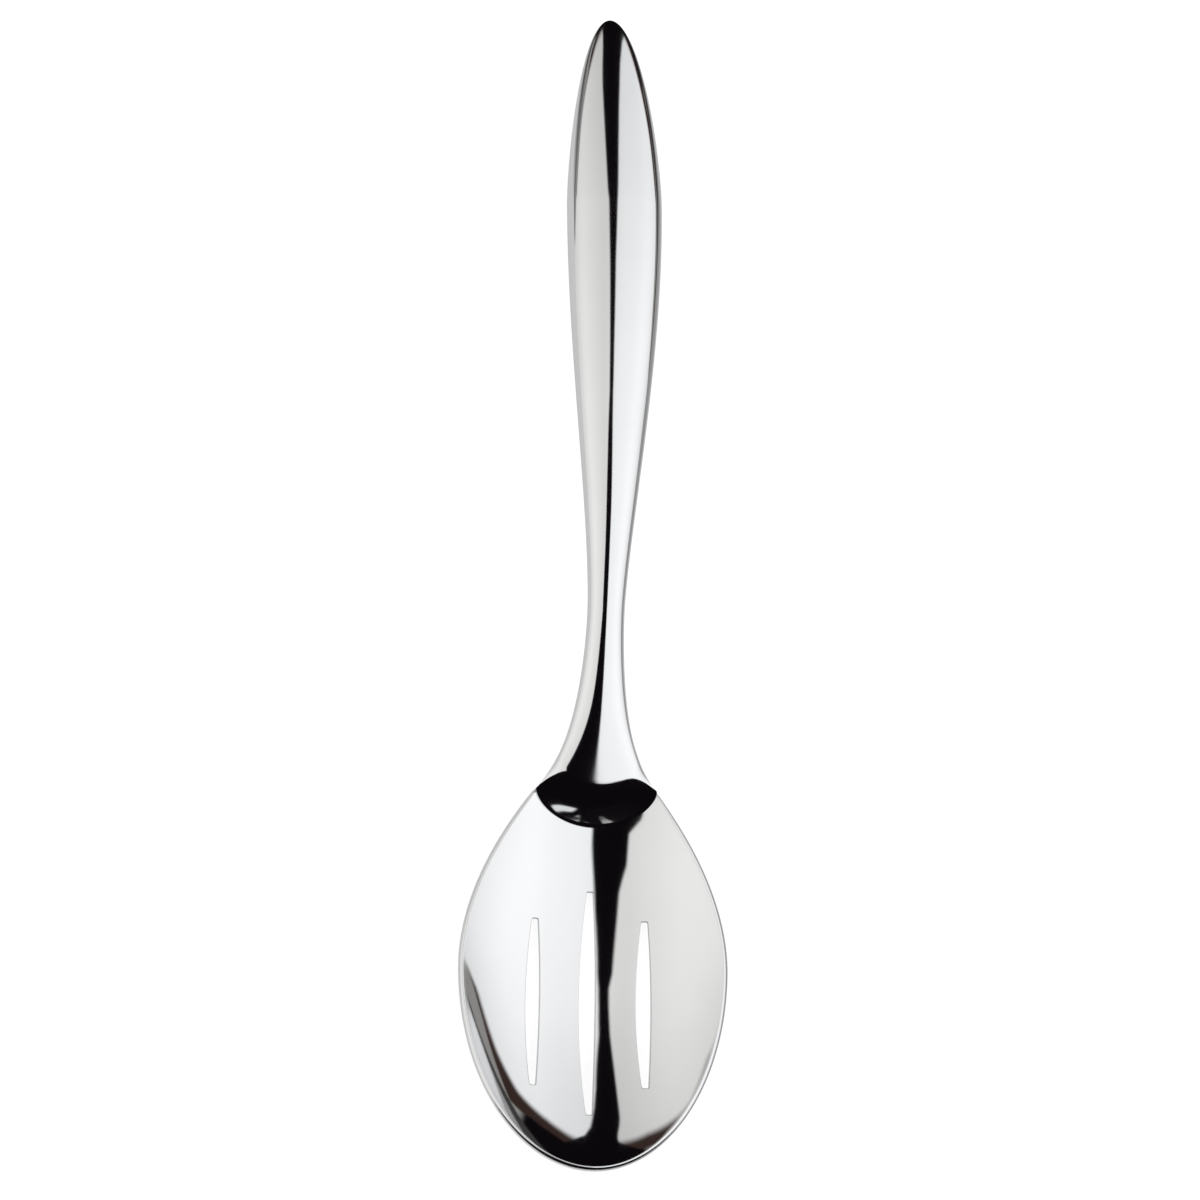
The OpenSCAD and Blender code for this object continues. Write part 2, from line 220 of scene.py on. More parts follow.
def floorHeight(s):
    deepest = bowl["deepestAt"]
    toTip = bowl["rimTip"] * np.maximum(0, 1 - s / deepest) ** bowl["floorTipPower"]
    t = clamp01((s - deepest) / (shoulderAt - deepest))
    toHeel = (bowl["rimShoulder"] - bowl["heelDip"]) * t ** bowl["floorHeelPower"]
    tang = rimHeight(s) - bowl["heelDip"] * (1 - clamp01((s - shoulderAt) / mouthRun)) ** 2
    return np.where(s < deepest, toTip, np.where(s < shoulderAt, toHeel, tang))


def sectionPower(s):
    deepest = bowl["deepestAt"]
    toTip = 1 - np.maximum(0, 1 - s / deepest) ** 2
    toHeel = 1 - clamp01((s - deepest) / (shoulderAt - deepest))
    return mix(2, bowl["wallPower"], np.where(s < deepest, toTip, toHeel))


def sectionHalf(s):
    return np.where(s < shoulderAt, np.maximum(bowlHalf(s), leastSize), handleHalf(s))


def tangHalf(s):
    share = mix(bowl["tangMouthShare"], bowl["tangShare"], clamp01((s - shoulderAt) / mouthRun))
    return handleHalf(s) * share


def sheetHalf(s):
    t = clamp01((s - shoulderAt + bowl["relief"]) / bowl["relief"])
    tangStart = tangHalf(np.full_like(s, shoulderAt))
    return np.where(s < shoulderAt, mix(bowlHalf(s), tangStart, t), tangHalf(s))


def sheetUnder(x, s):
    low = floorHeight(s)
    return low + (rimHeight(s) - low) * (np.abs(x) / sectionHalf(s)) ** sectionPower(s)


def sheetNormal(x, s):
    half, power = sectionHalf(s), sectionPower(s)
    q = np.maximum(np.abs(x) / half, leastShare)       # how far out, as a share of the half width
    rise = rimHeight(s) - floorHeight(s)
    dx = rise * power * q ** (power - 1) / half * np.sign(x)
    floorSlope = slopeOf(floorHeight, s)
    spread = slopeOf(sectionPower, s) * np.log(q) - power * slopeOf(sectionHalf, s) / half
    ds = floorSlope + (slopeOf(rimHeight, s) - floorSlope) * q ** power + rise * q ** power * spread
    return unitRows(np.stack([-dx, -ds, np.ones_like(dx)], -1))


def sheetTop(x, s):
    return sheetUnder(x, s) + bowl["sheet"] / sheetNormal(x, s)[..., 2]


# Turns points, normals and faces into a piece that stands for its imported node. Wear is 1 on the rim
# and the slot edges, where the polish is a little rougher, and 0 elsewhere

def makePiece(name, node, material, points, normals, faces, wear=None):
    used = np.unique(np.concatenate([np.array(f) for f in faces]))
    place = np.zeros(len(points), int)
    place[used] = np.arange(len(used))
    points, normals = points[used], normals[used]
    wear = np.zeros(len(points)) if wear is None else wear[used]
    mesh = bpy.data.meshes.new(name)
    mesh.from_pydata([tuple(p) for p in points], [], [tuple(place[list(f)]) for f in faces])
    work = bmesh.new()
    work.from_mesh(mesh)
    bmesh.ops.recalc_face_normals(work, faces=work.faces)
    if work.calc_volume(signed=True) < 0:
        bmesh.ops.reverse_faces(work, faces=work.faces)
    work.to_mesh(mesh)
    work.free()
    mesh.shade_smooth()
    mesh.normals_split_custom_set_from_vertices([tuple(n) for n in normals])
    worn = mesh.attributes.new("wear", "FLOAT", "POINT")
    worn.data.foreach_set("value", wear)
    piece = bpy.data.objects.new(name, mesh)
    bpy.context.scene.collection.objects.link(piece)
    mesh.materials.append(material)
    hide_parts(node)
    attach(piece, "root")
    return piece


def ringBand(a, b, count):
    return [(a + k, b + k, b + (k + 1) % count, a + (k + 1) % count) for k in range(count)]


# Helpers for the node trees of the steels, the room and the table

def feed(tree, value, socket):
    # joins another node's output to the socket, or sets the socket to a fixed value
    if isinstance(value, bpy.types.NodeSocket):
        tree.links.new(value, socket)
    else:
        socket.default_value = value


def addNode(tree, kind, **inputs):
    node = tree.nodes.new(kind)
    for key, value in inputs.items():
        feed(tree, value, node.inputs[key.replace("_", " ")])
    return node


def calc(tree, operation, *values):
    node = tree.nodes.new("ShaderNodeMath")
    node.operation = operation
    for socket, value in zip(node.inputs, values):
        feed(tree, value, socket)
    return node.outputs["Value"]


def blendColor(tree, share, first, second):
    node = tree.nodes.new("ShaderNodeMix")
    node.data_type = "RGBA"
    for place, value in ((0, share), (6, first), (7, second)):      # the sockets of a colour mix
        feed(tree, value, node.inputs[place])
    return node.outputs[2]


def easedStep(tree, value, start, stop):
    node = addNode(tree, "ShaderNodeMapRange", Value=value, From_Min=start, From_Max=stop)
    node.interpolation_type = "SMOOTHSTEP"
    return node.outputs["Result"]


def pastEdge(tree, value, edge, soft):
    return easedStep(tree, calc(tree, "SUBTRACT", value, edge), -soft, soft)


def oneMinus(tree, value):
    return calc(tree, "SUBTRACT", 1, value)


def drawnCurve(tree, value, points, reach, handles="VECTOR"):
    # a curve through (place, height) points, with heights within -reach..reach
    low, high = points[0][0], points[-1][0]
    node = tree.nodes.new("ShaderNodeFloatCurve")
    curve = node.mapping.curves[0]
    while len(curve.points) < len(points):
        curve.points.new(0.5, 0.5)
    for point, (place, height) in zip(curve.points, points):
        point.location = ((place - low) / (high - low), (height + reach) / (2 * reach))
        point.handle_type = handles
    node.mapping.update()
    feed(tree, calc(tree, "DIVIDE", calc(tree, "SUBTRACT", value, low), high - low), node.inputs["Value"])
    return calc(tree, "SUBTRACT", calc(tree, "MULTIPLY", node.outputs["Value"], 2 * reach), reach)


# Steel finishes: a very faint clouding of the polish, and hairlines from washing and wiping

polish = {
    "cloudScale": 90,
    "cloudDetail": 4,
    "cloudRoughness": 0.6,
    "cloudTint": (0.97, 1.02),
    "hairScale": 5200,
    "hairDetail": 2,
    "hairRoughness": 0.5,
    "hairDraw": (1, 0.06, 1),     # the hairlines are drawn out along the spoon
    "hairTurn": math.radians(8),
    "hairDepth": 0.002 * mm,
    # colour, roughness, its spread, strength of the hairlines, roughness added by wear
    "bowl": ((0.80, 0.80, 0.805), 0.045, 0.02, 0.35, 0.12),
    "handle": ((0.80, 0.80, 0.805), 0.06, 0.02, 0.25, 0.1),
    "weld": ((0.74, 0.74, 0.75), 0.08, 0.03, 0.5, 0.1),
}


def polishedSteel(name, color, roughness, roughSpread, scratches, wearRough):
    material = bpy.data.materials.new(name)
    material.use_nodes = True
    tree = material.node_tree
    shader = tree.nodes["Principled BSDF"]
    shader.inputs["Metallic"].default_value = 1
    place = tree.nodes.new("ShaderNodeTexCoord").outputs["Object"]
    cloud = addNode(
        tree, "ShaderNodeTexNoise", Vector=place, Scale=polish["cloudScale"],
        Detail=polish["cloudDetail"], Roughness=polish["cloudRoughness"],
    )
    drawn = addNode(
        tree, "ShaderNodeMapping", Vector=place, Scale=polish["hairDraw"],
        Rotation=(0, 0, polish["hairTurn"]),
    )
    hair = addNode(
        tree, "ShaderNodeTexNoise", Vector=drawn.outputs["Vector"], Scale=polish["hairScale"],
        Detail=polish["hairDetail"], Roughness=polish["hairRoughness"],
    )
    wear = tree.nodes.new("ShaderNodeAttribute")
    wear.attribute_name = "wear"
    low, high = polish["cloudTint"]
    tint = addNode(tree, "ShaderNodeMapRange", Value=cloud.outputs["Fac"], To_Min=low, To_Max=high)
    shade = tree.nodes.new("ShaderNodeMix")
    shade.data_type = "RGBA"
    shade.blend_type = "MULTIPLY"
    shade.inputs["Factor"].default_value = 1
    shade.inputs["A"].default_value = (*color, 1)
    feed(tree, tint.outputs["Result"], shade.inputs["B"])
    feed(tree, shade.outputs["Result"], shader.inputs["Base Color"])
    low, high = roughness - roughSpread, roughness + roughSpread
    base = addNode(tree, "ShaderNodeMapRange", Value=cloud.outputs["Fac"], To_Min=low, To_Max=high)
    worn = calc(tree, "MULTIPLY_ADD", wear.outputs["Fac"], wearRough, base.outputs["Result"])
    feed(tree, worn, shader.inputs["Roughness"])
    bump = addNode(
        tree, "ShaderNodeBump", Strength=scratches, Distance=polish["hairDepth"], Height=hair.outputs["Fac"],
    )
    feed(tree, bump.outputs["Normal"], shader.inputs["Normal"])
    return material


bowlSteel = polishedSteel("BowlSteel", *polish["bowl"])
handleSteel = polishedSteel("HandleSteel", *polish["handle"])
weldSteel = polishedSteel("WeldSteel", *polish["weld"])
print("Spoon: steels mixed")

# Bowl: a grid whose columns and rows follow the slots, so their edges stay clean

bowlMesh = {
    "columns": (3, 8, 4, 16),     # middle to slot edge, between slots, across a side slot, out to the rim
    "rimSteps": 8,
    "filletSteps": 3,
    "tipRows": 28,
    "tipGrowth": 2,
    "cornerRows": 4,
    "endRows": 8,                 # between the ends of the side slots and those of the middle one
    "slotRows": 44,
    "heelRows": 30,
    "reliefRows": 4,
    "tangRows": 22,
    "tangGrowth": 1.6,
    "settleRounds": 4,            # rounds that lay the upper side's grid over the lower side's
    "heelFade": 12 * mm,
}


def slotEnds(length):
    grown = length / 2 + slots["edgeRadius"]
    return slots["middleAt"] - grown, slots["middleAt"] + grown


def slotHalf(s, length, width):
    start, stop = slotEnds(length)
    inside = np.clip(s, start, stop)
    t = (inside - slots["middleAt"]) / (length / 2)
    half = slots["endWidth"] / 2 + (width - slots["endWidth"]) / 2 * (1 - t * t) + slots["edgeRadius"]
    radius = slots["cornerRadius"]
    toEnd = np.minimum(np.minimum(inside - start, stop - inside), radius)
    return half - radius + np.sqrt(np.maximum(0, radius ** 2 - (radius - toEnd) ** 2))


def slotShrink(s, length):
    start, stop = slotEnds(length)
    return sheetHalf(s) / sheetHalf(np.clip(s, start, stop))


def columnPlaces(s):
    side = np.clip(s, *slotEnds(slots["sideLength"]))
    centre = slots["pitch"] - math.sin(slots["splay"]) * (side - slots["middleAt"])
    sideHalf = slotHalf(s, slots["sideLength"], slots["sideWidth"])
    sideShrink = slotShrink(s, slots["sideLength"])
    marks = [
        np.zeros_like(s),
        slotHalf(s, slots["middleLength"], slots["middleWidth"]) * slotShrink(s, slots["middleLength"]),
        (centre - sideHalf) * sideShrink,
        (centre + sideHalf) * sideShrink,
        sheetHalf(s),
    ]
    half = [marks[0]]
    for k, count in enumerate(bowlMesh["columns"]):
        for j in range(1, count + 1):
            half.append(mix(marks[k], marks[k + 1], j / count))
    half = np.stack(half, -1)
    return np.concatenate([-half[:, :0:-1], half], -1)


def bowlRows():
    midStart, midStop = slotEnds(slots["middleLength"])
    sideStart, sideStop = slotEnds(slots["sideLength"])
    corner = slots["cornerRadius"] * (1 - np.cos(np.linspace(0, math.pi / 2, bowlMesh["cornerRows"] + 1)))
    reliefAt = shoulderAt - bowl["relief"]
    tangEnd = shoulderAt + bowl["tangLength"]
    rows = np.concatenate([
        midStart * (np.arange(1, bowlMesh["tipRows"]) / bowlMesh["tipRows"]) ** bowlMesh["tipGrowth"],
        midStart + corner,
        np.linspace(midStart + corner[-1], sideStart, bowlMesh["endRows"])[1:-1],
        sideStart + corner,
        np.linspace(sideStart + corner[-1], sideStop - corner[-1], bowlMesh["slotRows"])[1:-1],
        (sideStop - corner)[::-1],
        np.linspace(sideStop, midStop - corner[-1], bowlMesh["endRows"])[1:-1],
        (midStop - corner)[::-1],
        np.linspace(midStop, reliefAt, bowlMesh["heelRows"])[1:],
        np.linspace(reliefAt, shoulderAt, bowlMesh["reliefRows"])[1:-1],
        mix(shoulderAt, tangEnd, np.linspace(0, 1, bowlMesh["tangRows"]) ** bowlMesh["tangGrowth"]),
    ])
    return rows, midStart, midStop, sideStart, sideStop


def pressSheet(x, s, midStart, midStop):
    # the two sides of the sheet and their normals; the upper grid lets the slots be cut straight down
    sheet = bowl["sheet"]
    under = np.stack([x, s, sheetUnder(x, s)], -1)
    ux, us = x.copy(), s.copy()
    for _ in range(bowlMesh["settleRounds"]):
        n = sheetNormal(ux, np.maximum(us, leastSize))
        ux, us = x - sheet * n[..., 0], np.maximum(s - sheet * n[..., 1], leastSize)
    toSlots = easeInOut(clamp01(s / midStart))
    toHeel = 1 - easeInOut(clamp01((s - midStop) / bowlMesh["heelFade"]))
    cols = x.shape[1] - 1
    fromMiddle = np.abs(np.arange(cols + 1) * 2 - cols)
    fromRim = clamp01((cols - fromMiddle) / (2 * bowlMesh["columns"][3]))
    share = toSlots * toHeel * easeInOut(fromRim)[None, :]
    ux, us = mix(x, ux, share), mix(s, us, share)
    topNormal = sheetNormal(ux, us)
    top = np.stack([ux, us, sheetUnder(ux, us)], -1) + sheet * topNormal
    return under, -sheetNormal(x, s), top, topNormal


def rimArc(low, high, normal, outward):
    # the rounded rim from the lower edge to the upper one
    half, bulged = bowl["sheet"] / 2, bowl["rimBulge"] * bowl["sheet"]
    points, turns = [], []
    for a in np.linspace(0, math.pi, bowlMesh["rimSteps"] + 1)[1:-1]:
        points.append((low + high) / 2 - np.cos(a) * (high - low) / 2 + math.sin(a) * bulged * outward)
        turns.append(unitRows(math.sin(a) * half * outward - math.cos(a) * bulged * normal))
    return points, turns


def slotWall(plan, edges, normals):
    # rings that turn from both sides of the sheet into the slot's wall, from the top down
    along = np.roll(plan, -1, 0) - np.roll(plan, 1, 0)
    away = unitRows(np.stack([-along[:, 1], along[:, 0]], -1))
    inward = np.concatenate([-away, np.zeros((len(plan), 1))], -1)
    if np.sum(inward[:, :2] * (plan - plan.mean(0))) > 0:
        inward = -inward
    radius = slots["edgeRadius"]
    turns = np.linspace(0, math.pi / 2, bowlMesh["filletSteps"] + 1)[1:]
    rings = []
    for edge, normal, sign, turnsHere in zip(edges, normals, (-1, 1), (turns, turns[::-1])):
        for turn in turnsHere:
            drop = np.array([0, 0, sign * radius * (1 - math.cos(turn))])
            ring = edge + inward * radius * math.sin(turn) + drop
            rings.append((ring, unitRows(normal * math.cos(turn) + inward * math.sin(turn))))
    return rings


def buildBowl():
    rows, midStart, midStop, sideStart, sideStop = bowlRows()
    x = columnPlaces(rows)
    s = np.repeat(rows[:, None], x.shape[1], 1)
    under, underNormal, top, topNormal = pressSheet(x, s, midStart, midStop)
    cols = x.shape[1] - 1
    middle = cols // 2
    rimSteps = bowlMesh["rimSteps"]

    # the tip, then one closed ring for each row: under side, right rim, upper side, left rim
    tipNormal = sheetNormal(np.zeros(1), np.full(1, leastSize))[0]
    tipNormal[0] = 0
    tipNormal = tipNormal / np.linalg.norm(tipNormal)
    tipLow = np.array([0, 0, bowl["rimTip"]])
    tipTop = tipLow + bowl["sheet"] * tipNormal
    arc, turns = rimArc(tipLow, tipTop, tipNormal, np.array([0, -tipNormal[2], tipNormal[1]]))
    points = [tipLow, *arc, tipTop]
    normals = [-tipNormal, *turns, tipNormal]
    wear = [1.0] * (rimSteps + 1)
    first = len(points)
    ring = 2 * (cols + 1) + 2 * (rimSteps - 1)
    onRim = (np.arange(cols + 1) % cols == 0).astype(float)
    for k in range(len(rows)):
        arcs = []
        for end, sign in ((cols, 1), (0, -1)):
            n = topNormal[k, end]
            along = under[min(k + 1, len(rows) - 1), end] - under[max(k - 1, 0), end]
            outward = np.cross(along, n) * sign
            arcs.append(rimArc(under[k, end], top[k, end], n, outward / np.linalg.norm(outward)))
        (rightArc, rightTurns), (leftArc, leftTurns) = arcs
        points += [*under[k], *rightArc, *top[k, ::-1], *leftArc[::-1]]
        normals += [*underNormal[k], *rightTurns, *topNormal[k, ::-1], *leftTurns[::-1]]
        wear += 2 * [*onRim, *[1.0] * (rimSteps - 1)]

    def underAt(k, i):
        return first + k * ring + i

    def topAt(k, i):
        return first + k * ring + cols + rimSteps + cols - i

    def tipAt(k):
        if k <= cols:
            return 0
        if k < cols + rimSteps:
            return k - cols
        if k <= 2 * cols + rimSteps:
            return rimSteps
        return 2 * (cols + rimSteps) - k

    def rowNear(value):
        return int(np.argmin(np.abs(rows - value)))

    a, b, c, _ = bowlMesh["columns"]
    sideRows = (rowNear(sideStart), rowNear(sideStop))
    holes = [
        (rowNear(midStart), rowNear(midStop), middle - a, middle + a),
        (*sideRows, middle + a + b, middle + a + b + c),
        (*sideRows, middle - a - b - c, middle - a - b),
    ]

    def inHole(k, i):
        return any(k0 <= k < k1 and i0 <= i < i1 for k0, k1, i0, i1 in holes)

    faces = []
    for k in range(ring):
        m = (k + 1) % ring
        faces.append(tuple(dict.fromkeys([tipAt(k), first + k, first + m, tipAt(m)])))
    for k in range(len(rows) - 1):
        for i in range(cols):
            if not inHole(k, i):
                faces.append((underAt(k, i), underAt(k + 1, i), underAt(k + 1, i + 1), underAt(k, i + 1)))
                faces.append((topAt(k, i), topAt(k, i + 1), topAt(k + 1, i + 1), topAt(k + 1, i)))
        here, there = first + k * ring, first + (k + 1) * ring
        for start in (cols, 2 * cols + rimSteps):
            for j in range(start, start + rimSteps):
                m = (j + 1) % ring
                faces.append((here + j, there + j, there + m, here + m))
    last = len(rows) - 1
    for i in range(cols):
        faces.append((underAt(last, i), topAt(last, i), topAt(last, i + 1), underAt(last, i + 1)))
    for start in (cols, 2 * cols + rimSteps):
        faces.append(tuple(first + last * ring + (start + j) % ring for j in range(rimSteps + 1)))

    for k0, k1, i0, i1 in holes:
        loop = [(k, i0) for k in range(k0, k1)] + [(k1, i) for i in range(i0, i1)]
        loop += [(k, i1) for k in range(k1, k0, -1)] + [(k0, i) for i in range(i1, i0, -1)]
        k, i = np.array(loop).T
        plan = np.stack([x[k, i], s[k, i]], -1)
        rings = [topAt(k, i)]
        for place, normal in slotWall(plan, (top[k, i], under[k, i]), (topNormal[k, i], underNormal[k, i])):
            rings.append(len(points) + np.arange(len(loop)))
            points += list(place)
            normals += list(normal)
            wear += [1.0] * len(loop)
        rings.append(underAt(k, i))
        for upper, lower in zip(rings, rings[1:]):
            faces += list(zip(upper, np.roll(upper, -1), np.roll(lower, -1), lower))

    return np.array(points) + [0, tipY, 0], np.array(normals), faces, np.array(wear)


bowlPiece = makePiece("BowlSheet", "bowl", bowlSteel, *buildBowl())
print("Spoon: bowl pressed, slots cut")

# Handle shells: side +1 is the upper one, side -1 the lower one

handleMesh = {
    "across": 56,
    "crowding": 0.6,              # draws the columns towards the seam, where the section turns fast
    "mouthRows": 34,
    "neckRows": 24,
    "swellRows": 56,
    "tipRows": 44,
    "rowGrowth": 1.6,
    "angleNudge": 1e-5,           # steps that give the slopes of the surface
    "rowNudge": 1e-6,
}

fullTurn = 2 * math.pi
acrossShares = np.linspace(0, 1, handleMesh["across"] + 1)
crowded = handleMesh["crowding"] * np.sin(fullTurn * acrossShares) / fullTurn
acrossAngles = math.pi * (acrossShares - crowded)
handleRows = np.concatenate([
    shoulderAt + mouthRun * np.linspace(0, 1, handleMesh["mouthRows"] + 1) ** handleMesh["rowGrowth"],
    np.linspace(shoulderAt + mouthRun, neckAt, handleMesh["neckRows"] + 1)[1:],
    np.linspace(neckAt, gripAt, handleMesh["swellRows"] + 1)[1:],
    mix(gripAt, spoonLength, np.sin(np.linspace(0, math.pi / 2, handleMesh["tipRows"] + 1)))[1:-1],
])


def onSeam(angle):
    return np.sin(angle) < leastShare


def noseRound(angle):
    return np.maximum(np.sin(angle), 0) ** handle["noseRound"]


def bulge(row):
    return handle["noseLength"] * (1 - clamp01((row - shoulderAt) / mouthRun)) ** 2


def crown(height, s, angle):
    power = mix(handle["boxPower"], 1, easeInOut(clamp01((s - shoulderAt) / mouthRun)))
    return halfSeam + (height - halfSeam) * np.maximum(np.sin(angle), 0) ** power


def sheetFace(side, x, s):
    if side > 0:
        return sheetTop(x, s) + handle["gap"]
    return sheetUnder(x, s) - handle["gap"]


def shellPoint(side, row, angle):
    x = handleHalf(row) * np.cos(angle)
    y = row - bulge(row) * noseRound(angle)
    body = seamHeight(y) + side * crown(shellHeight(side, y), y, angle)
    onSheet = np.minimum(np.abs(x), sectionHalf(np.minimum(y, shoulderAt)))
    lip = sheetFace(side, onSheet, np.minimum(y, shoulderAt))
    lip = lip + side * handle["lip"] * handle["beadSideShare"]
    fromEdge = row - shoulderAt + (handle["noseLength"] - bulge(row)) * noseRound(angle)
    rise = 1 - (1 - clamp01(fromEdge / handle["noseRun"])) ** 2
    z = np.where(onSeam(angle), seamHeight(y) + side * halfSeam, mix(lip, body, rise))
    return np.stack([x, y, z], -1)


def cavityPoint(side, row, angle):
    s = np.where(row < gripAt, row, mix(gripAt, innerTipAt, (row - gripAt) / handle["gripDist"]))
    edge = (row <= shoulderAt) & ~onSeam(angle)
    x = np.where(edge, handleHalf(row), cavityHalf(s)) * np.cos(angle)
    y = s - bulge(row) * noseRound(angle)
    outer = side * (shellPoint(side, row, angle)[..., 2] - seamHeight(y))
    body = crown(shellHeight(side, y, handle["wall"], innerTipAt), y, angle)
    walled = seamHeight(y) + side * np.maximum(halfSeam, np.minimum(body, outer - handle["wall"]))
    onSheet = np.minimum(np.abs(x), sectionHalf(y))
    face = sheetFace(side, onSheet, y)
    nearSheet = ((y < shoulderAt) | (np.abs(x) < tangHalf(y))) & (y < shoulderAt + mouthRun)
    cleared = np.where(nearSheet, side * np.maximum(side * walled, side * face), walled)
    z = np.where(s < gripAt, cleared, seamHeight(y) + side * body)
    z = np.where(edge, face, z)
    return np.stack([x, y, np.where(onSeam(angle), seamHeight(y) + side * halfSeam, z)], -1)


def shellNormal(side, row, angle):
    step = np.where(angle < math.pi / 2, 1, -1) * handleMesh["angleNudge"]
    move = np.where(row < gripAt, 1, -1) * handleMesh["rowNudge"]
    safe = np.where(onSeam(angle), angle + step, angle)
    here = shellPoint(side, row, safe)
    across = (shellPoint(side, row, angle + 2 * step) - here) * np.sign(step)[..., None]
    along = (shellPoint(side, row + move, safe) - here) * np.sign(move)[..., None]
    facing = unitRows(np.cross(along, across)) * side

    # the polish rolls over at the mouth's corners and leans along the handle
    rolled = 1 - easeInOut(clamp01((row - shoulderAt) / handle["cornerReach"]))
    rolled = handle["cornerRoll"] * rolled * np.cos(angle) ** 2
    facing = unitRows(facing - rolled[..., None] * np.array([0, 1, 0]))
    leanAt, leanBy = np.array(handle["lean"]).T
    lean = np.radians(np.interp(row, leanAt * mm, leanBy))
    x, y, z = np.moveaxis(facing, -1, 0)
    return np.stack([x * np.cos(lean) - z * np.sin(lean), y, z * np.cos(lean) + x * np.sin(lean)], -1)


def buildShell(side):
    row, angle = np.meshgrid(handleRows, acrossAngles, indexing="ij")
    outer = shellPoint(side, row, angle)
    inner = cavityPoint(side, row, angle)
    facing = shellNormal(side, row, angle)
    count = len(acrossAngles)
    ring = 2 * count
    points, normals = [], []
    for k in range(len(handleRows)):
        points += [*outer[k], *inner[k, ::-1]]
        normals += [*facing[k], *[(0, 0, 0)] * count]
    tipPoint = np.array([0, spoonLength, seamHeight(spoonLength) + side * halfSeam])
    innerTip = np.array([0, innerTipAt, seamHeight(innerTipAt) + side * halfSeam])
    outerTipAt = len(points)
    points += [tipPoint, innerTip]
    normals += [(0, 1, 0), (0, 0, 0)]
    faces = []
    for k in range(len(handleRows) - 1):
        faces += ringBand(k * ring, (k + 1) * ring, ring)
    last = (len(handleRows) - 1) * ring
    for i in range(count - 1):
        faces.append((i, i + 1, ring - 2 - i, ring - 1 - i))
        faces.append((last + i, outerTipAt, last + i + 1))
        faces.append((last + count + i, outerTipAt + 1, last + count + i + 1))
    faces.append((last + count - 1, outerTipAt, outerTipAt + 1, last + count))
    faces.append((last + ring - 1, outerTipAt + 1, outerTipAt, last))
    return np.array(points) + [0, tipY, 0], np.array(normals), faces


topPiece = makePiece("HandleTopShell", "handle_top_shell", handleSteel, *buildShell(1))
underPiece = makePiece("HandleBottomShell", "handle_bottom_shell", handleSteel, *buildShell(-1))
print("Spoon: handle shells pressed")

# Welds: the seam between the shells, and the beads round the nose

beadMesh = {
    "steps": 6,
    "spared": 2,                  # columns that stay free at each end
    "cornerShare": 0.45,          # how hollow the bead's curve is
    "headShare": 0.98,            # how far up the shell's edge it reaches
}


def buildSeam():
    outer = shellPoint(1, handleRows, np.zeros_like(handleRows))
    inner = cavityPoint(1, handleRows, np.zeros_like(handleRows))
    ends = [np.array([0, at, seamHeight(at) + halfSeam]) for at in (spoonLength, innerTipAt)]
    mirror = np.array([-1, 1, 1])
    outer = np.concatenate([outer, ends[:1], outer[::-1] * mirror])
    inner = np.concatenate([inner, ends[1:], inner[::-1] * mirror])
    drop = np.array([0, 0, handle["seam"]])
    along = np.gradient(outer, axis=0)
    outward = unitRows(np.stack([along[:, 1], -along[:, 0], np.zeros(len(along))], -1))
    points, normals = [], []
    for k in range(len(outer)):
        points += [outer[k], outer[k] - drop, inner[k] - drop, inner[k]]
        normals += [outward[k], outward[k], (0, 0, 0), (0, 0, 0)]
    faces = []
    for k in range(len(outer) - 1):
        faces += ringBand(4 * k, 4 * k + 4, 4)
    last = 4 * (len(outer) - 1)
    faces += [(0, 1, 2, 3), (last, last + 1, last + 2, last + 3)]
    return np.array(points) + [0, tipY, 0], np.array(normals), faces


def buildNoseBead(side):
    angles = acrossAngles[beadMesh["spared"]:-beadMesh["spared"]]
    rows = np.full_like(angles, shoulderAt)
    foot = cavityPoint(side, rows, angles)
    head = shellPoint(side, rows, angles)
    headNormal = shellNormal(side, rows, angles)
    head = mix(foot, head, beadMesh["headShare"])
    along = np.gradient(foot, axis=0)
    ahead = unitRows(np.stack([-along[:, 1], along[:, 0], np.zeros(len(along))], -1))
    reach = handle["bead"] * np.sin(angles[:, None]) ** handle["beadEndPower"] * ahead
    toe = foot + reach
    corner = foot + beadMesh["cornerShare"] * reach
    for place in (toe, corner):
        onSheet = np.minimum(np.abs(place[:, 0]), sectionHalf(place[:, 1]))
        place[:, 2] = sheetFace(side, onSheet, place[:, 1])
    toeNormal = sheetNormal(toe[:, 0], toe[:, 1]) * side
    steps = beadMesh["steps"]
    points, normals = [], []
    for k in range(len(angles)):
        points.append(foot[k])
        normals.append((0, 0, 0))
        for j in range(steps + 1):
            u = j / steps
            points.append((1 - u) ** 2 * toe[k] + 2 * u * (1 - u) * corner[k] + u * u * head[k])
            normals.append(unitRows(mix(toeNormal[k], headNormal[k], u)))
    ring = steps + 2
    faces = []
    for k in range(len(angles) - 1):
        faces += ringBand(k * ring, (k + 1) * ring, ring)
    last = (len(angles) - 1) * ring
    faces += [tuple(range(ring)), tuple(range(last, last + ring))]
    return np.array(points) + [0, tipY, 0], np.array(normals), faces


seamPiece = makePiece("SeamWeld", "seam_weld", weldSteel, *buildSeam())
beadTop = makePiece("NoseWeldTop", "nose_weld_top", weldSteel, *buildNoseBead(1))
beadUnder = makePiece("NoseWeldBottom", "nose_weld_bottom", weldSteel, *buildNoseBead(-1))
print("Spoon: welds laid")

# Studio: a pale table in a light room, with a dark gap between the two wide lights overhead

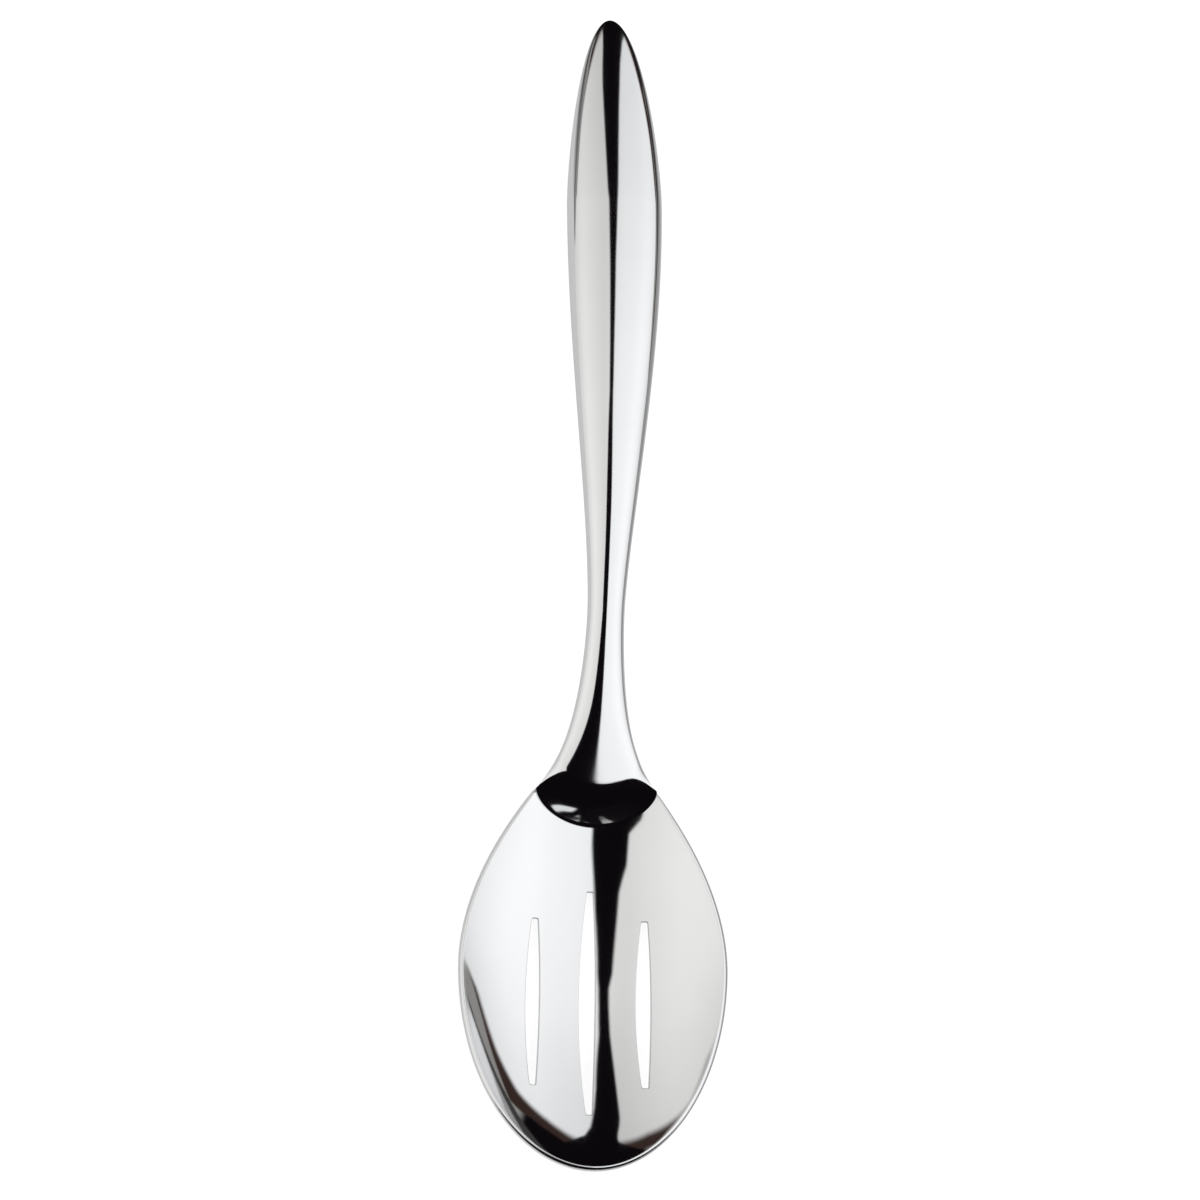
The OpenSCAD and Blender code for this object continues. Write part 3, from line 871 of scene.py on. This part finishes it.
studio = {
    "tableSize": 8.0,
    "tableColor": (0.52, 0.52, 0.52, 1),
    "reflectedShadeColor": (0.08, 0.075, 0.075, 1),       # painted shade: the table's far side, made dark for glossy rays only, as the steel reflects it
    "tableGlow": (0.8, 0.35, 0.8),              # added for camera, glossy and transmission rays
    "reflectedShadeAlong": (0.11, 0.15),                 # along the spoon, where the painted shade of the reflected table begins
    "tableLit": (-0.12, -0.04),                 # to the left, where the painted shade gives way and the reflected table stays light
    "reflectedShadeWedge": (0.36, 0.1, 0.13, 0.8),       # a wedge of painted grey shade far left: its slope, start, end and share
    "reflectedGreyRight": (0.012, 0.07),                 # to the right, where the reflected table loses its glow: a painted grey shade
    "leftTint": (1, 0.995, 0.98, 1),
    "rightTint": (0.985, 0.995, 1, 1),
    "gapColor": (0.004, 0.003, 0.004, 1),
    "bandColor": (0.040, 0.024, 0.020, 1),
    "farColor": (0.30, 0.295, 0.285, 1),
    "backdrop": (1, 1, 1, 1),                   # what the camera sees past the table
    "gapSoft": 1.2,
    "bandSoft": 1.5,
    "farSoft": 0.5,
    "tintTurns": (-10, 10),                     # degrees across, where one light's tint gives way
    "reach": 120,                               # the widest angle that the curves hold
    "brightest": 2,                             # and the greatest strength
    # strengths of the light: (degrees across, strength) and (degrees ahead, share)
    "across": (
        (-120, 0.78), (-85, 0.80), (-55, 0.95), (-30, 0.87), (-12, 0.80), (-4, 0.85), (4, 0.98),
        (30, 1.08), (50, 1.14), (70, 1.04), (90, 0.80), (120, 0.70),
    ),
    "ahead": (
        (-90, 0.95), (-50, 1.0), (-10, 1.06), (10, 1.03), (35, 0.95), (60, 0.87), (90, 0.80), (120, 0.80),
    ),
    # degrees from the zenith: (towards the handle tip, left edge, right edge) of the dark gap
    "gap": (
        (-90, -110, 110), (-40, -90, 95), (-34, -85, 90), (-32, -75, 45), (-30, -66, 24), (-27.5, -52, 14),
        (-26, -42, 9), (-24.8, -30, 7.8), (-23.5, -22, 7.6), (-22, -17.5, 7.5), (-18, -16.5, 7.3),
        (-14.5, -15.5, 6.6), (-12, -13.2, 6), (-8, -10, 5.2), (-3, -8.5, 4.6), (3, -6.5, 3.3), (10, -4.4, 2),
        (18, -5.1, 1.5), (30, -6.6, 1.1), (39, -8.4, 2.2), (46, -9.8, 3), (55, -11.3, 3.8), (63, -12.4, 5.5),
        (68, -12.8, 7.5), (71, -12, 9), (74, -10.5, 13), (76, -10, 24), (77.5, -11, 36), (79, -20, 48),
        (83, -60, 60), (110, -60, 60),
    ),
    # (bearing from the right, degrees from the zenith where the dark band begins)
    "band": (
        (-180, 118), (4, 118), (9, 87.5), (12, 85), (16, 83), (22, 83.4), (30, 84), (43, 83.3), (52, 80.8),
        (59, 79.2), (66, 78.4), (76, 78), (90, 77.5), (101, 78.5), (113, 80.2), (121, 82.5), (128, 84.5),
        (134, 85.3), (140, 84), (147, 82.3), (153, 84), (158, 87.5), (161, 118), (180, 118),
    ),
    "shadeStarts": (46, 50),      # bearings between which the far end is black
    "shadeEnds": (108, 112),
    # (bearing, degrees from the zenith where the band gives way to the far end of the table)
    "bandEnd": (
        (-180, 95), (5, 90), (10, 85.5), (16, 84.8), (22, 85.6), (30, 87.4), (42, 90), (47, 88), (52, 85.2),
        (60, 83), (66, 82), (76, 81.5), (90, 81.5), (103, 82.5), (112, 84.5), (116, 85.5), (121, 84.5),
        (128, 85), (133, 84), (140, 79), (161, 79), (166, 95), (180, 95),
    ),
}


def buildRoom():
    world = bpy.data.worlds.new("StudioRoom")
    bpy.context.scene.world = world
    world.use_nodes = True
    tree = world.node_tree
    shine = tree.nodes["Background"]
    split = tree.nodes.new("ShaderNodeSeparateXYZ")
    feed(tree, tree.nodes.new("ShaderNodeTexCoord").outputs["Generated"], split.inputs["Vector"])
    x, y, z = split.outputs
    degree = 180 / math.pi
    zenith = calc(tree, "MULTIPLY", calc(tree, "ARCCOSINE", z), degree)
    flat = calc(tree, "SQRT", calc(tree, "ADD", calc(tree, "MULTIPLY", x, x), calc(tree, "MULTIPLY", y, y)))
    perFlat = calc(tree, "DIVIDE", zenith, calc(tree, "MAXIMUM", flat, leastSize))
    across = calc(tree, "MULTIPLY", x, perFlat)
    ahead = calc(tree, "MULTIPLY", y, perFlat)
    bearing = calc(tree, "MULTIPLY", calc(tree, "ARCTAN2", y, x), degree)
    reach = studio["reach"]
    leftEdge = drawnCurve(tree, ahead, [(v, left) for v, left, _ in studio["gap"]], reach)
    rightEdge = drawnCurve(tree, ahead, [(v, right) for v, _, right in studio["gap"]], reach)
    pastLeft = pastEdge(tree, across, leftEdge, studio["gapSoft"])
    beforeRight = pastEdge(tree, rightEdge, across, studio["gapSoft"])
    inGap = calc(tree, "MULTIPLY", pastLeft, beforeRight)
    bandStart = drawnCurve(tree, bearing, studio["band"], reach)
    inBand = pastEdge(tree, zenith, bandStart, studio["bandSoft"])
    strength = calc(
        tree, "MULTIPLY",
        drawnCurve(tree, across, studio["across"], studio["brightest"], "AUTO"),
        drawnCurve(tree, ahead, studio["ahead"], studio["brightest"], "AUTO"),
    )
    turned = easedStep(tree, across, *studio["tintTurns"])
    tint = blendColor(tree, turned, studio["leftTint"], studio["rightTint"])
    light = tree.nodes.new("ShaderNodeVectorMath")
    light.operation = "SCALE"
    feed(tree, tint, light.inputs[0])
    feed(tree, strength, light.inputs["Scale"])
    bandEnd = drawnCurve(tree, bearing, studio["bandEnd"], reach)
    pastBand = pastEdge(tree, zenith, bandEnd, studio["farSoft"])
    beforeEnd = oneMinus(tree, easedStep(tree, bearing, *studio["shadeEnds"]))
    inShade = calc(tree, "MULTIPLY", easedStep(tree, bearing, *studio["shadeStarts"]), beforeEnd)
    far = blendColor(tree, inShade, studio["farColor"], studio["gapColor"])
    farEnd = blendColor(tree, pastBand, studio["bandColor"], far)
    banded = blendColor(tree, inBand, light.outputs["Vector"], farEnd)
    gapped = blendColor(tree, inGap, banded, studio["gapColor"])
    seen = tree.nodes.new("ShaderNodeLightPath").outputs["Is Camera Ray"]
    feed(tree, blendColor(tree, seen, gapped, studio["backdrop"]), shine.inputs["Color"])


def buildTable():
    material = bpy.data.materials.new("PaleTable")
    material.use_nodes = True
    tree = material.node_tree
    tree.nodes.clear()
    output = tree.nodes.new("ShaderNodeOutputMaterial")
    rays = tree.nodes.new("ShaderNodeLightPath")
    split = tree.nodes.new("ShaderNodeSeparateXYZ")
    feed(tree, tree.nodes.new("ShaderNodeTexCoord").outputs["Object"], split.inputs["Vector"])
    # Painted shade in the steel's reflections: glossy rays see the table dark beyond a line along the spoon,
    # and far left only in a grey wedge; the camera sees the plain table
    paintedShade = easedStep(tree, split.outputs["Y"], *studio["reflectedShadeAlong"])
    slope, start, end, share = studio["reflectedShadeWedge"]
    sideways = calc(tree, "MULTIPLY_ADD", split.outputs["X"], slope, split.outputs["Y"])
    wedge = calc(tree, "MULTIPLY", easedStep(tree, sideways, start, end), share)
    shadeReach = easedStep(tree, split.outputs["X"], *studio["tableLit"])
    paintedShade = calc(tree, "MULTIPLY", paintedShade, calc(tree, "MAXIMUM", shadeReach, wedge))
    # Painted grey shade in reflections: to the right, and wherever the painted shade lies, glossy rays see
    # the table without its glow
    paintedGrey = easedStep(tree, split.outputs["X"], *studio["reflectedGreyRight"])
    glowKept = calc(tree, "MULTIPLY", oneMinus(tree, paintedShade), oneMinus(tree, paintedGrey))
    glossyPaintedShade = calc(tree, "MULTIPLY", rays.outputs["Is Glossy Ray"], paintedShade)
    color = blendColor(tree, glossyPaintedShade, studio["tableColor"], studio["reflectedShadeColor"])
    diffuse = addNode(tree, "ShaderNodeBsdfDiffuse", Color=color)
    toCamera, toGloss, toGlass = studio["tableGlow"]
    strength = calc(tree, "MULTIPLY", rays.outputs["Is Camera Ray"], toCamera)
    glossGlow = calc(tree, "MULTIPLY", glowKept, toGloss)
    strength = calc(tree, "MULTIPLY_ADD", rays.outputs["Is Glossy Ray"], glossGlow, strength)
    strength = calc(tree, "MULTIPLY_ADD", rays.outputs["Is Transmission Ray"], toGlass, strength)
    glow = addNode(tree, "ShaderNodeEmission", Strength=strength)
    both = tree.nodes.new("ShaderNodeAddShader")
    feed(tree, diffuse.outputs["BSDF"], both.inputs[0])
    feed(tree, glow.outputs["Emission"], both.inputs[1])
    feed(tree, both.outputs["Shader"], output.inputs["Surface"])
    mesh = bpy.data.meshes.new("Table")
    reach = studio["tableSize"] / 2
    corners = [(-reach, -reach, 0), (reach, -reach, 0), (reach, reach, 0), (-reach, reach, 0)]
    mesh.from_pydata(corners, [], [(0, 1, 2, 3)])
    mesh.materials.append(material)
    table = bpy.data.objects.new("Table", mesh)
    bpy.context.scene.collection.objects.link(table)


buildRoom()
buildTable()
print("Spoon: studio lit")

# Camera, straight above but for a small lean

camera = {
    "distance": 1.2,
    "target": (0, 0, 10 * mm),
    "roll": math.radians(7),      # the lens stands a little to the left and towards the bowl tip
    "pitch": math.radians(-8.85),
    "spin": math.radians(1.4),
    "pixelsPerMetre": 4633,
    "imageSize": 1200,
    "centrePixel": (602.0, 582.0),
    "sensor": 36.0,
}

back = Vector((
    -math.sin(camera["roll"]),
    math.sin(camera["pitch"]) * math.cos(camera["roll"]),
    math.cos(camera["pitch"]) * math.cos(camera["roll"]),
))
right = Vector((0, 1, 0)).cross(back).normalized()
up = back.cross(right)
c, s = math.cos(camera["spin"]), math.sin(camera["spin"])
rightSpun = c * right + s * up
upSpun = -s * right + c * up
lens = bpy.data.cameras.new("Lens")
lens.sensor_width = camera["sensor"]
lens.lens = camera["sensor"] * camera["pixelsPerMetre"] * camera["distance"] / camera["imageSize"]
lens.shift_x = -(camera["centrePixel"][0] - camera["imageSize"] / 2) / camera["imageSize"]
lens.shift_y = (camera["centrePixel"][1] - camera["imageSize"] / 2) / camera["imageSize"]
cameraObject = bpy.data.objects.new("Camera", lens)
turned = Matrix((rightSpun, upSpun, back)).transposed().to_4x4()
turned.translation = Vector(camera["target"]) + back * camera["distance"]
cameraObject.matrix_world = turned
bpy.context.scene.collection.objects.link(cameraObject)
bpy.context.scene.camera = cameraObject

bpy.context.scene.view_settings.view_transform = "Standard"
print("Spoon: camera placed")
